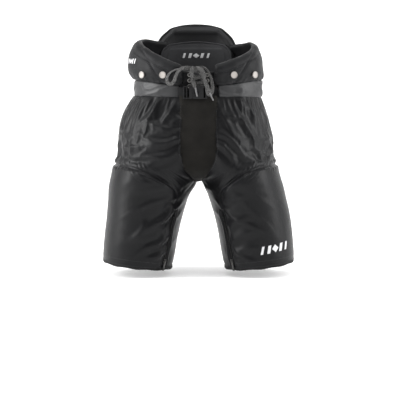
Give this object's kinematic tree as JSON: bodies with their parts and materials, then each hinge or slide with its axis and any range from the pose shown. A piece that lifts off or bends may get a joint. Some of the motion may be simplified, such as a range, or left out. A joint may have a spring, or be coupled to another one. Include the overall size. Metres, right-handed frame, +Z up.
{
  "type": "ice hockey pants",
  "caption": "Padded ice hockey pants with belted laced waist, kidney and back pads, suspender buttons, stretch gusset and hinged padded legs.",
  "frame": {"origin": "centre of the waist at the belt's mid-height, where the wearer's waist holds the pants up", "axes": "+Z up, +X to the wearer's left, -Y to the front"},
  "size_m": [0.4904, 0.2937, 0.6148],
  "materials": {
    "shell_nylon": "satin woven nylon",
    "satin_nylon": "satin",
    "stretch_rib": "matte ribbed knit",
    "foam": "matte foam",
    "guard_plastic": "matte",
    "liner_cloth": "matte knit",
    "pad_cover": "matte woven",
    "binding_tape": "matte tape",
    "webbing": "woven",
    "buckle_plastic": "satin",
    "button_plastic": "satin",
    "lace_cord": "braided",
    "aglet_plastic": "satin",
    "eyelet_metal": "satin",
    "zip_metal": "satin"
  },
  "bodies": {
    "root": {"hip_shell_left": "shell_nylon", "hip_shell_right": "shell_nylon", "hip_guard_left": "guard_plastic", "hip_guard_right": "guard_plastic", "spine_guard": "guard_plastic", "hip_pad_left": "foam", "hip_pad_right": "foam", "tailbone_pad": "foam", "fly_tongue": "liner_cloth", "back_liner": "liner_cloth", "back_pad_binding": "binding_tape", "front_gusset": "stretch_rib", "rear_gusset": "stretch_rib", "kidney_pad_left": "pad_cover", "kidney_pad_right": "pad_cover", "back_pad": "pad_cover", "suspender_buttons_front": "button_plastic", "suspender_buttons_rear": "button_plastic", "belt_tunnel_left": "satin_nylon", "belt_tunnel_right": "satin_nylon", "belt_webbing": "webbing", "belt_strap_clip_side": "webbing", "buckle_socket": "buckle_plastic", "fly_facing_left": "shell_nylon", "fly_facing_right": "shell_nylon", "lace_eyelets": "eyelet_metal", "lace_crossing": "lace_cord", "lace_knot": "lace_cord", "lace_loop_right": "lace_cord", "lace_loop_left": "lace_cord", "lace_tail_right": "lace_cord", "lace_tail_left": "lace_cord", "lace_aglets": "aglet_plastic"},
    "leg_left": {"thigh_shell_left": "shell_nylon", "inner_leg_panel_left": "shell_nylon", "thigh_guard_left": "guard_plastic", "front_thigh_pad_left": "foam", "outer_thigh_pad_left": "foam", "rear_thigh_pad_left": "foam", "leg_liner_left": "liner_cloth", "hem_binding_left": "binding_tape", "zipper_tape_left": "binding_tape", "zipper_teeth_left": "zip_metal"},
    "zip_slider_left": {"zipper_slider_left": "zip_metal"},
    "zip_pull_left": {"zipper_pull_left": "zip_metal"},
    "leg_right": {"thigh_shell_right": "shell_nylon", "inner_leg_panel_right": "shell_nylon", "thigh_guard_right": "guard_plastic", "front_thigh_pad_right": "foam", "outer_thigh_pad_right": "foam", "rear_thigh_pad_right": "foam", "leg_liner_right": "liner_cloth", "hem_binding_right": "binding_tape", "zipper_tape_right": "binding_tape", "zipper_teeth_right": "zip_metal"},
    "zip_slider_right": {"zipper_slider_right": "zip_metal"},
    "zip_pull_right": {"zipper_pull_right": "zip_metal"},
    "buckle_clip": {"buckle_clip": "buckle_plastic"},
    "prong_upper": {"buckle_prong_upper": "buckle_plastic"},
    "prong_lower": {"buckle_prong_lower": "buckle_plastic"}
  },
  "joints": [
    {"name": "hip_left", "type": "hinge", "parent": "root", "child": "leg_left", "pos_m": [0.1, -0.0111, -0.105], "axis": [-1, 0, 0], "range_deg": [-15, 35], "deforming": ["hip_shell_left"]},
    {"name": "zip_slide_left", "type": "slide", "parent": "leg_left", "child": "zip_slider_left", "axis": [-0.215, -0.0552, 0.9751], "range_m": [0, 0.103]},
    {"name": "zip_pull_swing_left", "type": "hinge", "parent": "zip_slider_left", "child": "zip_pull_left", "pos_m": [0.0837, -0.07105, -0.43304], "axis": [-0.5615, 0.8239, -0.0771], "range_deg": [0, 150]},
    {"name": "hip_right", "type": "hinge", "parent": "root", "child": "leg_right", "pos_m": [-0.1, -0.0111, -0.105], "axis": [-1, 0, 0], "range_deg": [-15, 35], "deforming": ["hip_shell_right"]},
    {"name": "zip_slide_right", "type": "slide", "parent": "leg_right", "child": "zip_slider_right", "axis": [0.215, -0.0552, 0.9751], "range_m": [0, 0.103]},
    {"name": "zip_pull_swing_right", "type": "hinge", "parent": "zip_slider_right", "child": "zip_pull_right", "pos_m": [-0.0837, -0.07105, -0.43304], "axis": [-0.5615, -0.8239, 0.0771], "range_deg": [0, 150]},
    {"name": "buckle_release", "type": "slide", "parent": "root", "child": "buckle_clip", "axis": [-1, 0, 0], "range_m": [0, 0.02], "deforming": ["belt_strap_clip_side"]},
    {"name": "prong_press_upper", "type": "hinge", "parent": "buckle_clip", "child": "prong_upper", "pos_m": [-0.0143, -0.1225, 0.0024], "axis": [0, 1, 0], "range_deg": [0, 9], "stiffness_Nm_per_rad": 0.05},
    {"name": "prong_press_lower", "type": "hinge", "parent": "buckle_clip", "child": "prong_lower", "pos_m": [-0.0143, -0.1225, -0.0164], "axis": [0, -1, 0], "range_deg": [0, 9], "stiffness_Nm_per_rad": 0.05}
  ]
}
